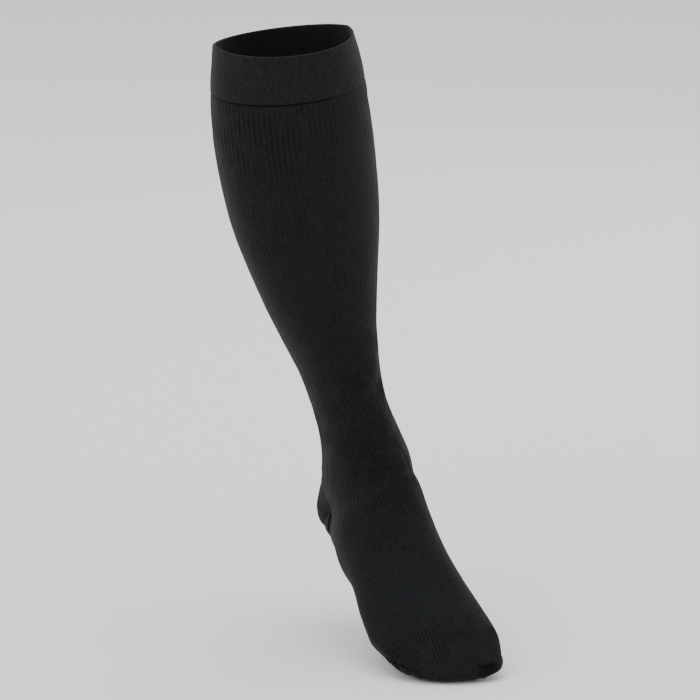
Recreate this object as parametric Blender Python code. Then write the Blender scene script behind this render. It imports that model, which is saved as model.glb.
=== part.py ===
"""A knee-high compression stocking with a closed toe, in the hollow form that it has when worn.

Metres, +Z up, -Y to the front.  The origin is the centre of the top opening, and the leg hangs from it.
The stocking is a right one, on a general leg that leans a little, with its heel lifted and its toe down.

The knit is one continuous form, worked out from rings.  Each ring has a front point, a back point and two
side points in the stocking's own side view, and a half width across.  Two wedges of half rings are set into
the tube, as a knitting machine sets them in: the heel pocket and the toe pocket turn about the side points.
"""
import math

import bmesh
import bpy
import numpy as np

MM = 0.001

# How the stocking is worn.
LEG_LEAN = 10.2          # degrees, the top of the leg axis towards -X
LEG_TURN = 22.0          # degrees, the shin turned from -Y towards +X
FOOT_ANGLE = 62.0        # degrees between the leg, going down, and the foot, going forward

# The ankle joint, as (ahead of the leg axis, height) and as (distance from the back of the heel, height).
ANKLE_ON_LEG = (2.0, -337.0)
ANKLE_ON_FOOT = (57.0, 72.0)

# Cloth and construction, in mm.
BAND_HEIGHT = 36.0       # the top band, a welt of two layers
BAND_WALL = 2.2
KNIT_WALL = 1.2
POCKET_WALL = 1.5        # plain heel and toe pockets
SEAM_GAP = 0.3

# Rings of the leg, from the top edge to just above the ankle, in mm.  down: along the leg axis.  dip: how far
# the side points lie below that.  front, back: reach from the axis.  shift: of the whole ring, to the inner
# side of the leg.  half: half width.  pitch, roll: degrees that the ring drops towards the front and towards
# the inner side.  The top rings rise at the sides, and most on the inner side.
LEG_COLUMNS = ("down", "dip", "front", "back", "shift", "half", "pitch", "roll")
LEG_RINGS = (
    (0, -5, 50.5, 57.0, 1.5, 53.0, 7.0, -0.5),
    (20, -5, 52.0, 60.0, 0.2, 56.7, 6.5, -2.0),
    (42, -5, 53.0, 63.0, -2.0, 59.0, 5.5, -3.5),
    (70, -4, 53.0, 66.5, -4.1, 60.2, 4.5, -2.5),
    (98, -2, 52.0, 66.5, -5.2, 59.5, 3.0, -1.0),
    (126, -0.5, 50.0, 63.5, -6.0, 57.2, 1.5, 0.0),
    (160, 0, 47.0, 56.5, -6.3, 51.3, 0.3, 0.5),
    (195, 0, 44.0, 48.5, -6.0, 43.0, 0.0, 0.0),
    (225, 0, 41.0, 42.0, -4.3, 35.3, 0.0, 0.0),
    (252, 1, 38.5, 38.0, -2.0, 29.5, 0.0, 0.0),
    (278, 4, 37.0, 36.0, 0.2, 27.2, 0.0, 0.0),
    (300, 12, 37.5, 38.0, 3.7, 29.2, 0.0, 0.0),
    (314, 24, 39.0, 43.5, 5.6, 32.4, 0.0, 0.0),
)

# Rings of the foot, from the ankle bend to the toes, in mm.  down: along the stocking, carried on from the
# leg.  Points are (distance from the back of the heel, height above the sole).  lead: how far the inner side
# runs ahead.  crest: how far the top of the ring lies towards the inner side.  A fullness of 2 is an ellipse,
# and more is squarer.  spread: how far the sole half swells out beyond the side points.
FOOT_COLUMNS = ("down", "top", "side", "sole", "shift", "half", "lead", "crest", "top_fullness",
                "sole_fullness", "spread")
FOOT_RINGS = (
    (328, (86, 101), (60, 44), (64, -1), 6.2, 33.2, 0, 3, 2.05, 2.6, 4.0),
    (348, (98, 91), (74, 40), (82, -0.5), 4.0, 34.8, 0, 5, 2.05, 2.6, 2.0),
    (370, (113, 78), (93, 35), (102, 1.5), 1.0, 37.0, 1, 7, 2.1, 2.6, 1.0),
    (394, (132, 64), (114, 30), (124, 2.5), 0.3, 37.2, 3, 8, 2.1, 2.6, 0.0),
    (418, (153, 51.5), (136, 25), (146, 1.5), 0.0, 39.2, 6, 7, 2.1, 2.6, 0.0),
    (442, (173, 41), (158, 20), (166, 0), -0.5, 42.5, 8, 6, 2.15, 2.65, 0.0),
    (462, (192, 34.5), (177, 16), (182, 0), -0.5, 44.5, 9.5, 5, 2.2, 2.7, 0.0),
    (480, (210, 30), (191, 15), (195, 2), -1.0, 44.7, 10.5, 4, 2.25, 2.75, 0.0),
    (500, (235.5, 23.2), (208, 15), (210, 4.5), -2.8, 40.4, 8.5, 3, 2.3, 2.7, 0.0),
)
LEG_FULLNESS = 2.0

# The back edge of the heel pocket, from the tendon down and under, and the toe pocket's, from under the toes
# round their tips.
EDGE_COLUMNS = ("distance", "height", "fullness", "spread")
HEEL_EDGE = (
    (1.5, 60, 2.05, -1.0),
    (0, 45, 2.15, -3.0),
    (1, 29, 2.3, -1.5),
    (5, 14, 2.45, 2.5),
    (14, 4, 2.6, 4.0),
    (29, 0, 2.6, 4.5),
    (46, -1, 2.6, 4.5),
)
TOE_EDGE = (
    (219, 5.2, 2.65, 0.0),
    (230, 7, 2.55, 0.0),
    (238.5, 11, 2.45, 0.0),
    (241.5, 16.5, 2.4, 0.0),
    (240.4, 19.8, 2.35, 0.0),
)

# Mesh steps.
HALF_RING_STEPS = 20
BAND_RINGS = 5
LEG_RING_COUNT = 23
FOOT_RING_COUNT = 16
HEEL_WEDGE_RINGS = 11
TOE_WEDGE_RINGS = 9
TANGENT_STEP = 0.2       # mm, for the surface's slope
RUN_STEP = 2.0           # mm, for the run of the side points
LEAST_SQUARENESS = 0.6   # keeps the walls of slanting rings from growing too thick
LEAST_LENGTH = 1e-9      # where half rings run together, their normal has no length
SHARP_ANGLE = 40.0       # degrees

COLOURS = {
    "top_band": (0.024, 0.026, 0.027),
    "leg": (0.019, 0.021, 0.022),
    "foot": (0.019, 0.021, 0.022),
    "heel_pocket": (0.016, 0.018, 0.019),
    "toe_pocket": (0.016, 0.018, 0.019),
}
KNIT_ROUGHNESS = 0.9


def natural_spline(knots, values, at):
    """Smooth curve through values at knots, read at one or more places."""
    knots = np.asarray(knots, float)
    values = np.asarray(values, float)
    count = len(knots)
    gaps = np.diff(knots)
    system = np.eye(count)
    right = np.zeros_like(values)
    for i in range(1, count - 1):
        system[i, i - 1:i + 2] = gaps[i - 1], 2 * (gaps[i - 1] + gaps[i]), gaps[i]
        after = (values[i + 1] - values[i]) / gaps[i]
        before = (values[i] - values[i - 1]) / gaps[i - 1]
        right[i] = 6 * (after - before)
    bend = np.linalg.solve(system, right)
    at = np.atleast_1d(at)
    i = np.clip(np.searchsorted(knots, at, side="right") - 1, 0, count - 2)
    gap = gaps[i][:, None]
    t = (at - knots[i])[:, None] / gap
    straight = (1 - t) * values[i] + t * values[i + 1]
    curve = ((1 - t) ** 3 - (1 - t)) * bend[i] + (t ** 3 - t) * bend[i + 1]
    return straight + gap ** 2 / 6 * curve


def foot_axes():
    """Forward and downward directions of the foot in the stocking's side view, as (y, z)."""
    angle = math.radians(FOOT_ANGLE)
    forward = np.array([-math.sin(angle), -math.cos(angle)])
    downward = np.array([math.cos(angle), -math.sin(angle)])
    return forward, downward


FOOT_FORWARD, FOOT_DOWNWARD = foot_axes()


def foot_point(point):
    """A point of the foot's side view, (distance from the heel, height), as (y, z) of the stocking."""
    ahead = (point[0] - ANKLE_ON_FOOT[0]) * FOOT_FORWARD
    under = (ANKLE_ON_FOOT[1] - point[1]) * FOOT_DOWNWARD
    return np.array([-ANKLE_ON_LEG[0], ANKLE_ON_LEG[1]]) + ahead + under


def leg_point(ring, reach):
    """The point of a leg ring that lies so far behind the axis, as (y, z), or before it if negative."""
    pitch = math.radians(ring["pitch"])
    return np.array([reach * math.cos(pitch), reach * math.sin(pitch) - ring["down"]])


def ring_table():
    """Rows of every ring: down, front y z, side y z, shift, half, roll, lead, crest, top fullness."""
    rows = []
    for ring in LEG:
        front = leg_point(ring, -ring["front"])
        side = (0.0, -ring["down"] - ring["dip"])
        width = (ring["shift"], ring["half"], ring["roll"])
        rows.append((ring["down"], *front, *side, *width, 0.0, 0.0, LEG_FULLNESS))
    for ring in FOOT:
        front = foot_point(ring["top"])
        side = foot_point(ring["side"])
        width = (ring["shift"], ring["half"], 0.0)
        rows.append((ring["down"], *front, *side, *width, ring["lead"], ring["crest"], ring["top_fullness"]))
    return np.array(rows)


def lay_edge(rows, edge, along, before):
    """Add a pocket's edge to the back line, by its length, and return how far the line then reaches."""
    for values in edge:
        place = dict(zip(EDGE_COLUMNS, values))
        here = foot_point((place["distance"], place["height"]))
        along += np.linalg.norm(here - before)
        rows.append((along, *here, place["fullness"], place["spread"]))
        before = here
    return along


def back_table():
    """The back and sole line, as rows of distance along it, y, z, fullness and spread, and its marks.

    The marks are where the heel pocket begins and ends, and the same for the toe pocket.
    """
    rows = [(ring["down"], *leg_point(ring, ring["back"]), LEG_FULLNESS, 0.0) for ring in LEG]
    first = FOOT[0]
    last = FOOT[-1]
    heel_start = first["down"]
    heel_edge = HEEL_EDGE + ((*first["sole"], first["sole_fullness"], first["spread"]),)
    heel_end = lay_edge(rows, heel_edge, heel_start, foot_point(HEEL_EDGE[0][:2]))
    for ring in FOOT[1:]:
        along = heel_end + ring["down"] - heel_start
        rows.append((along, *foot_point(ring["sole"]), ring["sole_fullness"], ring["spread"]))
    toe_edge = TOE_EDGE + ((*last["top"], last["top_fullness"], 0.0),)
    toe_end = lay_edge(rows, toe_edge, along, foot_point(last["sole"]))
    return np.array(rows), heel_start, heel_end, along, toe_end


LEG = [dict(zip(LEG_COLUMNS, values)) for values in LEG_RINGS]
FOOT = [dict(zip(FOOT_COLUMNS, values)) for values in FOOT_RINGS]
RINGS = ring_table()
BACK_LINE, HEEL_START, HEEL_END, TOE_START, TOE_END = back_table()
ANKLE_DOWN = FOOT[0]["down"]
TOE_DOWN = FOOT[-1]["down"]


def ring_values(down):
    """Named values of the ring at one distance down the stocking."""
    values = natural_spline(RINGS[:, 0], RINGS[:, 1:], down)[0]
    return {
        "front": values[0:2], "side": values[2:4], "shift": values[4], "half": values[5],
        "roll": values[6], "lead": values[7], "crest": values[8], "top_fullness": values[9],
    }


def across(down):
    """Unit vector across the ring, towards the inner side, square to the run of the side points."""
    before = ring_values(max(down - RUN_STEP, RINGS[0, 0]))
    after = ring_values(min(down + RUN_STEP, RINGS[-1, 0]))
    run = after["side"] - before["side"]
    length = np.linalg.norm(run)
    slope = (after["shift"] - before["shift"]) / length
    tilt = run / length * slope
    roll = math.radians(ring_values(down)["roll"])
    direction = np.array([math.cos(roll), -tilt[0], -tilt[1] - math.sin(roll)])
    return direction / np.linalg.norm(direction)


def half_ring(ring, width, end, fullness, spread, crest):
    """A half ring from the inner side point, over its end point, to the outer side point.

    Returns the points, and at each the outward direction within the half ring's own plane.
    """
    reach_way = end - ring["side"]
    length = np.linalg.norm(reach_way)
    reach_way = np.array([0.0, *reach_way / length])
    points = np.empty((HALF_RING_STEPS + 1, 3))
    outward = np.empty_like(points)
    for step in range(HALF_RING_STEPS + 1):
        angle = math.pi * step / HALF_RING_STEPS
        reach = abs(math.sin(angle)) ** (2 / fullness)
        sideways = math.copysign(abs(math.cos(angle)) ** (2 / fullness), math.cos(angle))
        swelling = spread * 4 * reach * (1 - reach)
        plan = ring["side"] + sideways * ring["lead"] * FOOT_FORWARD
        points[step] = reach * length * reach_way + sideways * (ring["half"] + swelling) * width
        points[step] += (ring["shift"] + crest * reach ** 2, plan[0], plan[1])
        slope = math.copysign(abs(sideways) ** (fullness - 1), sideways) / ring["half"]
        outward[step] = slope * width + reach ** (fullness - 1) / length * reach_way
    return points, outward / np.linalg.norm(outward, axis=1)[:, None]


def back_half(ring, width, along, crest=0.0):
    """A half ring round the back or under the sole, at one distance along the back line."""
    values = natural_spline(BACK_LINE[:, 0], BACK_LINE[:, 1:], along)[0]
    return half_ring(ring, width, values[0:2], values[2], values[3], crest)


def whole_ring(down, along):
    """A closed ring, over the front from the inner side to the outer and back under.

    down says where its front and sides are, and along where its back is on the back line.
    """
    ring = ring_values(down)
    width = across(down)
    front = half_ring(ring, width, ring["front"], ring["top_fullness"], 0.0, ring["crest"])
    back = back_half(ring, width, along)
    return tuple(np.concatenate([over, under[-2:0:-1]]) for over, under in zip(front, back))


def leg_ring(down):
    return whole_ring(down, down)


def foot_ring(down):
    """A foot ring's back half starts under the heel pocket."""
    return whole_ring(down, down + HEEL_END - HEEL_START)


def heel_half(along):
    return back_half(ring_values(ANKLE_DOWN), across(ANKLE_DOWN), along)


def toe_half(along):
    """A half ring of the toe pocket, whose middle moves over to the crest of the instep."""
    turned = (along - TOE_START) / (TOE_END - TOE_START)
    ring = ring_values(TOE_DOWN)
    return back_half(ring, across(TOE_DOWN), along, turned * ring["crest"])


def edge_runs(row, closed):
    """Directions along a ring, or along a half ring with its two ends."""
    if closed:
        runs = np.roll(row, -1, axis=0) - np.roll(row, 1, axis=0)
    else:
        runs = np.gradient(row, axis=0)
    return runs / np.linalg.norm(runs, axis=1)[:, None]


def surface(row_at, places, closed):
    """Rows of points at the given places, and what to add to each for one mm more of wall.

    Pieces that share an edge share its rings, so their walls' ends are parallel there.
    """
    points = []
    outward = []
    for place in places:
        row, way = row_at(place)
        before = row_at(max(place - TANGENT_STEP, places[0]))[0]
        after = row_at(min(place + TANGENT_STEP, places[-1]))[0]
        normal = np.cross(edge_runs(row, closed), after - before)
        normal /= np.maximum(np.linalg.norm(normal, axis=1), LEAST_LENGTH)[:, None]
        squareness = np.maximum(np.abs((normal * way).sum(axis=1)), LEAST_SQUARENESS)
        points.append(row)
        outward.append(way / squareness[:, None])
    return np.array(points), np.array(outward)


def pull(row, towards, runs):
    """Move the points of an edge row off the seam by half its gap, along the next row's side of it."""
    way = towards - row
    way -= (way * runs).sum(axis=1)[:, None] * runs
    return row + way / np.linalg.norm(way, axis=1)[:, None] * SEAM_GAP / 2


def to_world(point):
    """From the stocking's own frame in mm to world metres: the leg's turn, then its lean."""
    turn = math.radians(LEG_TURN)
    lean = math.radians(-LEG_LEAN)
    x = point[0] * math.cos(turn) - point[1] * math.sin(turn)
    y = point[0] * math.sin(turn) + point[1] * math.cos(turn)
    z = point[2]
    return (
        (x * math.cos(lean) + z * math.sin(lean)) * MM,
        y * MM,
        (z * math.cos(lean) - x * math.sin(lean)) * MM,
    )


def knit_material(name):
    """Dull dark nylon and elastane knit."""
    material = bpy.data.materials.new(name + "_knit")
    material.use_nodes = True
    shader = material.node_tree.nodes["Principled BSDF"]
    shader.inputs["Base Color"].default_value = (*COLOURS[name], 1.0)
    shader.inputs["Roughness"].default_value = KNIT_ROUGHNESS
    shader.inputs["Metallic"].default_value = 0.0
    return material


def add_object(name, mesh_data):
    """Finish a bmesh as a named object with its own material."""
    bmesh.ops.recalc_face_normals(mesh_data, faces=mesh_data.faces)
    mesh = bpy.data.meshes.new(name)
    mesh_data.to_mesh(mesh)
    mesh_data.free()
    mesh.shade_smooth()
    mesh.set_sharp_from_angle(angle=math.radians(SHARP_ANGLE))
    mesh.materials.append(knit_material(name))
    piece = bpy.data.objects.new(name, mesh)
    bpy.context.scene.collection.objects.link(piece)
    return piece


def add_rows(mesh_data, rows):
    """Vertices for rows of points."""
    return [[mesh_data.verts.new(to_world(point)) for point in row] for row in rows]


def tube_wall(name, points, outward, wall):
    """A closed wall between the outer rings and the same rings set in by the cloth's thickness."""
    mesh_data = bmesh.new()
    outer = add_rows(mesh_data, points)
    inner = add_rows(mesh_data, points - outward * wall)
    size = len(outer[0])
    for skin in (outer, inner):
        for upper, lower in zip(skin, skin[1:]):
            for i in range(size):
                j = (i + 1) % size
                mesh_data.faces.new((upper[i], upper[j], lower[j], lower[i]))
    for outer_edge, inner_edge in ((outer[0], inner[0]), (outer[-1], inner[-1])):
        for i in range(size):
            j = (i + 1) % size
            mesh_data.faces.new((outer_edge[i], outer_edge[j], inner_edge[j], inner_edge[i]))
    return add_object(name, mesh_data)


def wedge_wall(name, points, outward, wall):
    """A closed wall over a wedge of half rings, which run together in a tip at each side point."""
    mesh_data = bmesh.new()
    body = points[:, 1:-1]
    body_outward = outward[:, 1:-1]
    outer = add_rows(mesh_data, body)
    inner = add_rows(mesh_data, body - body_outward * wall)
    tips = []
    for column, neighbour in ((0, 0), (-1, -1)):
        pole = points[0, column]
        first = body[0, neighbour] - pole
        last = body[-1, neighbour] - pole
        way = first / np.linalg.norm(first) + last / np.linalg.norm(last)
        tip = pole + way / np.linalg.norm(way) * SEAM_GAP
        inset = outward[0, column] / np.linalg.norm(outward[0, column]) * wall
        tips.append((mesh_data.verts.new(to_world(tip)), mesh_data.verts.new(to_world(tip - inset))))
    size = len(outer[0])
    for skin, tip_index in ((outer, 0), (inner, 1)):
        for upper, lower in zip(skin, skin[1:]):
            for i in range(size - 1):
                mesh_data.faces.new((upper[i], upper[i + 1], lower[i + 1], lower[i]))
            mesh_data.faces.new((upper[0], lower[0], tips[0][tip_index]))
            mesh_data.faces.new((upper[-1], lower[-1], tips[1][tip_index]))
    for outer_edge, inner_edge in ((outer[0], inner[0]), (outer[-1], inner[-1])):
        for i in range(size - 1):
            mesh_data.faces.new((outer_edge[i], outer_edge[i + 1], inner_edge[i + 1], inner_edge[i]))
        for tip, end in ((tips[0], 0), (tips[1], -1)):
            mesh_data.faces.new((outer_edge[end], inner_edge[end], tip[1], tip[0]))
    return add_object(name, mesh_data)


def make_band():
    places = np.linspace(0.0, BAND_HEIGHT - SEAM_GAP / 2, BAND_RINGS)
    points, outward = surface(leg_ring, places, closed=True)
    tube_wall("top_band", points, outward, BAND_WALL)


def make_leg():
    """The tube's last ring follows the ankle bend in front and the top of the heel pocket behind."""
    places = np.linspace(BAND_HEIGHT + SEAM_GAP / 2, ANKLE_DOWN, LEG_RING_COUNT)
    points, outward = surface(leg_ring, places, closed=True)
    points[-1] = pull(points[-1], points[-2], edge_runs(points[-1], closed=True))
    tube_wall("leg", points, outward, KNIT_WALL)


def make_foot():
    """From the ankle bend and the sole's edge of the heel pocket to the edges of the toe pocket."""
    places = np.linspace(ANKLE_DOWN, TOE_DOWN, FOOT_RING_COUNT)
    points, outward = surface(foot_ring, places, closed=True)
    points[0] = pull(points[0], points[1], edge_runs(points[0], closed=True))
    points[-1] = pull(points[-1], points[-2], edge_runs(points[-1], closed=True))
    tube_wall("foot", points, outward, KNIT_WALL)


def make_pocket(name, row_at, start, end, count):
    """A pocket is a wedge of half rings, clear of the knit along both its edges."""
    places = np.linspace(start, end, count)
    points, outward = surface(row_at, places, closed=False)
    for edge, neighbour in ((0, 1), (-1, -2)):
        runs = edge_runs(points[edge], closed=False)[1:-1]
        points[edge, 1:-1] = pull(points[edge, 1:-1], points[neighbour, 1:-1], runs)
    wedge_wall(name, points, outward, POCKET_WALL)


def main():
    for old in list(bpy.data.objects):
        bpy.data.objects.remove(old, do_unlink=True)
    make_band()
    make_leg()
    make_foot()
    make_pocket("heel_pocket", heel_half, HEEL_START, HEEL_END, HEEL_WEDGE_RINGS)
    make_pocket("toe_pocket", toe_half, TOE_START, TOE_END, TOE_WEDGE_RINGS)


main()
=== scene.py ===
"""The knit of a knee-high compression stocking with a closed toe, in its worn form.

The form is that of the solids: rings down the leg and the foot, and two wedges of half rings, which are the
heel pocket and the toe pocket.  Here it is taken much finer.  Each piece is a thin closed shell on that form,
with its ribs, creases, gores, seams and threads laid on it.
"""
import math

import bpy
import numpy as np
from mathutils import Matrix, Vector, noise


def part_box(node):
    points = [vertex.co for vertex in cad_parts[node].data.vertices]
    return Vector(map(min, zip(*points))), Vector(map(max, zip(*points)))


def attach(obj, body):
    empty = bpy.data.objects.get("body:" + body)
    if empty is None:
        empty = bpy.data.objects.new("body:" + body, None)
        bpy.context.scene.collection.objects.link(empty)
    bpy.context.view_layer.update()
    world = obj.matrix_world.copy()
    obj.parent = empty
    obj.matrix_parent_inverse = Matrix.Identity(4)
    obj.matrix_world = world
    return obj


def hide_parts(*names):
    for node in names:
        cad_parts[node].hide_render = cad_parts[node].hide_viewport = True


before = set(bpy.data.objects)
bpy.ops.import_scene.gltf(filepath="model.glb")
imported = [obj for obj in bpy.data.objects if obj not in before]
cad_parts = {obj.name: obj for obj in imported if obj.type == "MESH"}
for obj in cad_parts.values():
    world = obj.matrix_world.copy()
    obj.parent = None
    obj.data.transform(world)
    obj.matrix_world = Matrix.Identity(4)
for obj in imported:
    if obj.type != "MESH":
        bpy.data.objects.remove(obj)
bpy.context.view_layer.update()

MM = 0.001

# ---- the form, in mm and degrees, as in the solids

LEG_LEAN = 10.2
LEG_TURN = 22.0
FOOT_ANGLE = 62.0
ANKLE_ON_LEG = (2.0, -337.0)
ANKLE_ON_FOOT = (57.0, 72.0)
BAND_HEIGHT = 36.0
BAND_WALL = 2.2

# down: along the leg axis.  dip: how far the side points lie below that.  front, back: reach from the axis.
# shift: to the inner side of the leg.  half: half width.  pitch, roll: degrees that the ring drops forward
# and inward.
LEG_COLUMNS = ("down", "dip", "front", "back", "shift", "half", "pitch", "roll")
LEG_RINGS = (
    (0, -5, 50.5, 57.0, 1.5, 53.0, 7.0, -0.5),
    (20, -5, 52.0, 60.0, 0.2, 56.7, 6.5, -2.0),
    (42, -5, 53.0, 63.0, -2.0, 59.0, 5.5, -3.5),
    (70, -4, 53.0, 66.5, -4.1, 60.2, 4.5, -2.5),
    (98, -2, 52.0, 66.5, -5.2, 59.5, 3.0, -1.0),
    (126, -0.5, 50.0, 63.5, -6.0, 57.2, 1.5, 0.0),
    (160, 0, 47.0, 56.5, -6.3, 51.3, 0.3, 0.5),
    (195, 0, 44.0, 48.5, -6.0, 43.0, 0.0, 0.0),
    (225, 0, 41.0, 42.0, -4.3, 35.3, 0.0, 0.0),
    (252, 1, 38.5, 38.0, -2.0, 29.5, 0.0, 0.0),
    (278, 4, 37.0, 36.0, 0.2, 27.2, 0.0, 0.0),
    (300, 12, 37.5, 38.0, 3.7, 29.2, 0.0, 0.0),
    (314, 24, 39.0, 43.5, 5.6, 32.4, 0.0, 0.0),
)

# Points are (distance from the back of the heel, height above the sole).  lead: how far the inner side runs
# ahead.  crest: how far the top lies towards the inner side.  A fullness of 2 is an ellipse, and more is
# squarer.  spread: how far the sole half swells out beyond the side points.
FOOT_COLUMNS = ("down", "top", "side", "sole", "shift", "half", "lead", "crest", "top_fullness",
                "sole_fullness", "spread")
FOOT_RINGS = (
    (328, (86, 101), (60, 44), (64, -1), 6.2, 33.2, 0, 3, 2.05, 2.6, 4.0),
    (348, (98, 91), (74, 40), (82, -0.5), 4.0, 34.8, 0, 5, 2.05, 2.6, 2.0),
    (370, (113, 78), (93, 35), (102, 1.5), 1.0, 37.0, 1, 7, 2.1, 2.6, 1.0),
    (394, (132, 64), (114, 30), (124, 2.5), 0.3, 37.2, 3, 8, 2.1, 2.6, 0.0),
    (418, (153, 51.5), (136, 25), (146, 1.5), 0.0, 39.2, 6, 7, 2.1, 2.6, 0.0),
    (442, (173, 41), (158, 20), (166, 0), -0.5, 42.5, 8, 6, 2.15, 2.65, 0.0),
    (462, (192, 34.5), (177, 16), (182, 0), -0.5, 44.5, 9.5, 5, 2.2, 2.7, 0.0),
    (480, (210, 30), (191, 15), (195, 2), -1.0, 44.7, 10.5, 4, 2.25, 2.75, 0.0),
    (500, (235.5, 23.2), (208, 15), (210, 4.5), -2.8, 40.4, 8.5, 3, 2.3, 2.7, 0.0),
)
LEG_FULLNESS = 2.0

# The middle line of each pocket: distance, height, fullness, spread.
HEEL_EDGE = (
    (1.5, 60, 2.05, -1.0),
    (0, 45, 2.15, -3.0),
    (1, 29, 2.3, -1.5),
    (5, 14, 2.45, 2.5),
    (14, 4, 2.6, 4.0),
    (29, 0, 2.6, 4.5),
    (46, -1, 2.6, 4.5),
)
TOE_EDGE = (
    (219, 5.2, 2.65, 0.0),
    (230, 7, 2.55, 0.0),
    (238.5, 11, 2.45, 0.0),
    (241.5, 16.5, 2.4, 0.0),
    (240.4, 19.8, 2.35, 0.0),
)

# ---- the knit's own sizes, in mm

RIBS_ROUND = 86
RIBS_HALF = RIBS_ROUND // 2
RIB_EDGES = np.arange(RIBS_HALF + 1) / RIBS_HALF  # shares of half a round where its ribs meet
COURSE = 1.2  # one row of stitches, drawn coarser than the real 0.6 mm so that it shows
KNIT_WALL = 1.0
POCKET_WALL = 1.2

# How deep the ribs are cut at each distance down.  They are pulled flat over the calf and the mid foot.
RIB_DEPTH = ((36, 0.34), (60, 0.42), (90, 0.30), (150, 0.26), (200, 0.34), (250, 0.54), (300, 0.62),
             (345, 0.58), (372, 0.28), (400, 0.14), (432, 0.20), (452, 0.52), (480, 0.72), (500, 0.66))
# The groove shade is a painted shade in the grooves between ribs, and partly the knit lying more open there.
FULL_RIB = 0.5  # a rib as deep as this takes the whole groove shade

# How the ribs run over the front.  draw: their spacing in the middle, as a share of an even one.  shift: how
# far the middle ones are drawn to the inner side, as a share of the width.
RIB_FLOW = (
    (0, 1.0, 0.0),
    (220, 1.0, 0.0),
    (250, 1.0, 0.006),
    (300, 0.96, 0.040),
    (340, 0.84, 0.075),
    (380, 0.92, 0.085),
    (420, 0.98, 0.080),
    (460, 1.0, 0.072),
    (500, 1.0, 0.072),
)

# Between these distances down they are then let lie straight, as drawn cloth does over the ankle bend.
RELAX_DOWNS = (244.0, 436.0)
RELAX_ROWS = 49
RELAX_STEPS = 500
RELAX_STEP = 0.5
RELAX_EVENNESS = 0.42

# Where the ribs are pulled flat, or nearly: mm down, degrees of turn, how far each way, and by what share.
RIB_FLATS = (
    (118, 26, 84, 52, 0.88),
    (200, -30, 50, 26, 0.45),
    (110, 172, 70, 60, 0.45),
    (205, -88, 115, 30, 0.85),
    (230, 82, 120, 26, 0.75),
    (322, -76, 34, 26, 0.80),
    (318, 66, 32, 26, 0.65),
    (404, 6, 30, 80, 0.86),
)
RIB_PATCHES = (14.0, 1.2)  # size of the patches in which the ribs stand out more or less, and how much
RIB_STREAKS = (11.0, 1.6, 1.5)  # the same along single ribs: length, how many ribs wide, how much
RIB_LIMITS = (0.12, 1.7)  # the least and the most that patches and streaks leave of a rib
INSTEP_FLAT = (60.0, 90.0, 0.75)  # past the ankle ring the ribs sink: from, fully from, by what share
TOE_RIBS = (458.0, -0.24, 10.0, 12.0)  # and rise again: from, its change per degree past a turn, over so far
RIB_START = (-1.0, 6.0)  # below the band's base they rise from, to
RIB_END = (4.0, 0.6)  # over this distance before the toe seam the ribs lose this share
RIB_ROUNDNESS = 0.8
RIB_SINK = 0.5  # share of the depth that lies below the form
SOLE_START = (-20.0, 25.0)  # past the ankle ring the plain sole parts from the ribs: from, fully from
SOLE_FADE = (0.03, 0.15)  # shares of the instep's width, from each side, over which the ribs rise
RIB_PHASES = (0.0, 0.24, 0.5, 0.76)

# Rows of vertices.  FOLD_ROWS are distances below the band's base, where they lie close together.  The first
# is the leg's top edge, which is hidden up under the band.
FOLD_ROWS = (-1.8, -0.8, 0.0, 0.5, 1.0, 1.5, 2.2, 3.2)
ARC_STEPS = 360
RUN_STEP = 2.0
LEG_ROWS = 84
FOOT_ROWS = 58
SOLE_STEPS = 72
EDGE_ROW = 0.8  # a row of its own so close to each edge, for a soft turn
EDGE_SINK = 0.08
HEEL_SIZE = (58, 132)  # rows, columns
TOE_SIZE = (40, 168)
BAND_ROUND = 132  # points round half the band
TUCK = 2.2  # pockets run so far under the tube's edges
TUCK_SINK = (0.14, 0.45)  # how deep at the edge, and how much deeper for each mm under it
TUCK_RISE = 1.6  # and they come up level with it over this distance

# Where the bend of the ankle is rounded off: from, fully, until, to.  Shares run from the inner side.
BEND_DOWNS = (296.0, 312.0, 336.0, 356.0)
BEND_SHARES = (0.25, 0.5, 0.87, 1.0)
BEND_STEPS = 36
BEND_STEP = 0.5

# Unevenness of the cloth over the form: size of the waves, and how far they move it.
WAVES = ((34.0, 0.30), (12.0, 0.10))
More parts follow.
